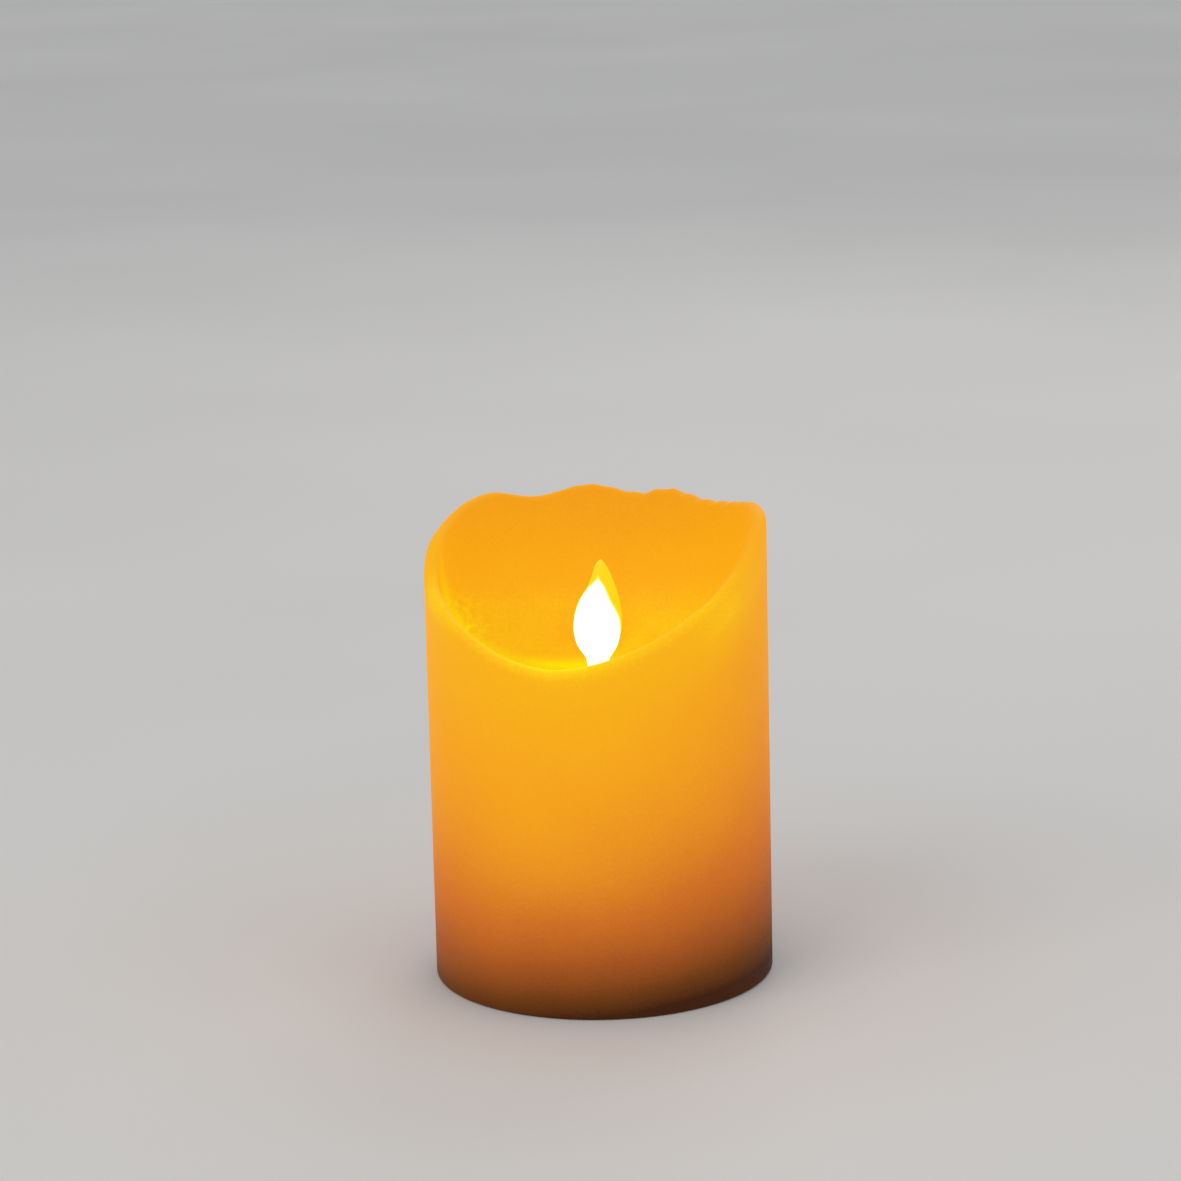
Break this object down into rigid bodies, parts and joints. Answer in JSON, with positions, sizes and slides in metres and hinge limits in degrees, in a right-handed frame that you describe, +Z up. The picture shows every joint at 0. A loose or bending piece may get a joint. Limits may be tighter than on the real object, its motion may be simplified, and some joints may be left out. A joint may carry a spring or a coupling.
{
  "type": "flameless led candle",
  "caption": "Flameless LED pillar candle: a hollow wax body with a melted, slanted rim and a swinging flame leaf, over a battery base.",
  "frame": {"origin": "centre of the wax foot, on the surface that the candle stands on", "axes": "+Z up; -Y towards the low side of the melted rim, which is the front; +X to the right seen from the front"},
  "size_m": [0.075, 0.075, 0.1032],
  "materials": {
    "wax": "matte, waxy, lit from inside",
    "ivory_plastic": "moulded, fine grain",
    "white_plastic": "moulded, matte",
    "black_plastic": "moulded, satin",
    "flame_plastic": "translucent, lit from below",
    "led_epoxy": "clear cast epoxy, lit",
    "steel": "zinc plated",
    "nickel": "nickel plated",
    "copper": "enamelled winding wire",
    "board_green": "solder mask",
    "cell_jacket": "printed film over a steel can",
    "red_wire": "PVC insulation",
    "black_wire": "PVC insulation"
  },
  "bodies": {
    "candle": {"base_screw_1": "steel", "base_screw_2": "steel", "base_screw_3": "steel", "base_tray": "ivory_plastic", "battery_front": "cell_jacket", "battery_rear": "cell_jacket", "body_led_left": "led_epoxy", "body_led_resistor": "white_plastic", "body_led_right": "led_epoxy", "bridge_contact": "nickel", "bridge_spring": "steel", "capacitor": "black_plastic", "circuit_board": "board_green", "clamp_screw_left": "steel", "clamp_screw_right": "steel", "coil_bobbin": "black_plastic", "controller_chip": "black_plastic", "core_deck": "white_plastic", "drive_coil": "copper", "drive_transistor": "black_plastic", "flame_collar": "ivory_plastic", "flame_led_front": "led_epoxy", "flame_led_front_lead": "white_plastic", "flame_led_rear": "led_epoxy", "flame_led_rear_lead": "white_plastic", "flame_led_resistor": "white_plastic", "housing_front": "white_plastic", "housing_rear": "white_plastic", "module_screw_left": "steel", "module_screw_right": "steel", "negative_spring": "steel", "negative_terminal": "nickel", "pivot_wire": "steel", "positive_terminal": "nickel", "return_wire": "black_wire", "supply_wire": "red_wire", "switch_body": "steel", "switch_wire": "red_wire", "timer_crystal": "steel", "wax_shell": "wax"},
    "flame": {"flame": "flame_plastic", "flame_magnet": "nickel"},
    "switch_knob": {"switch_knob": "black_plastic"},
    "battery_door": {"battery_door": "ivory_plastic"}
  },
  "joints": [
    {"name": "flame_swing", "type": "hinge", "parent": "candle", "child": "flame", "pos_m": [0, 0, 0.057], "axis": [0, 1, 0], "range_deg": [-8, 8]},
    {"name": "switch_slide", "type": "slide", "parent": "candle", "child": "switch_knob", "axis": [1, 0, 0], "range_m": [0, 0.004]},
    {"name": "door_hinge", "type": "hinge", "parent": "candle", "child": "battery_door", "pos_m": [-0.0273, 0, 0.0022], "axis": [0, 1, 0], "range_deg": [0, 95]}
  ]
}
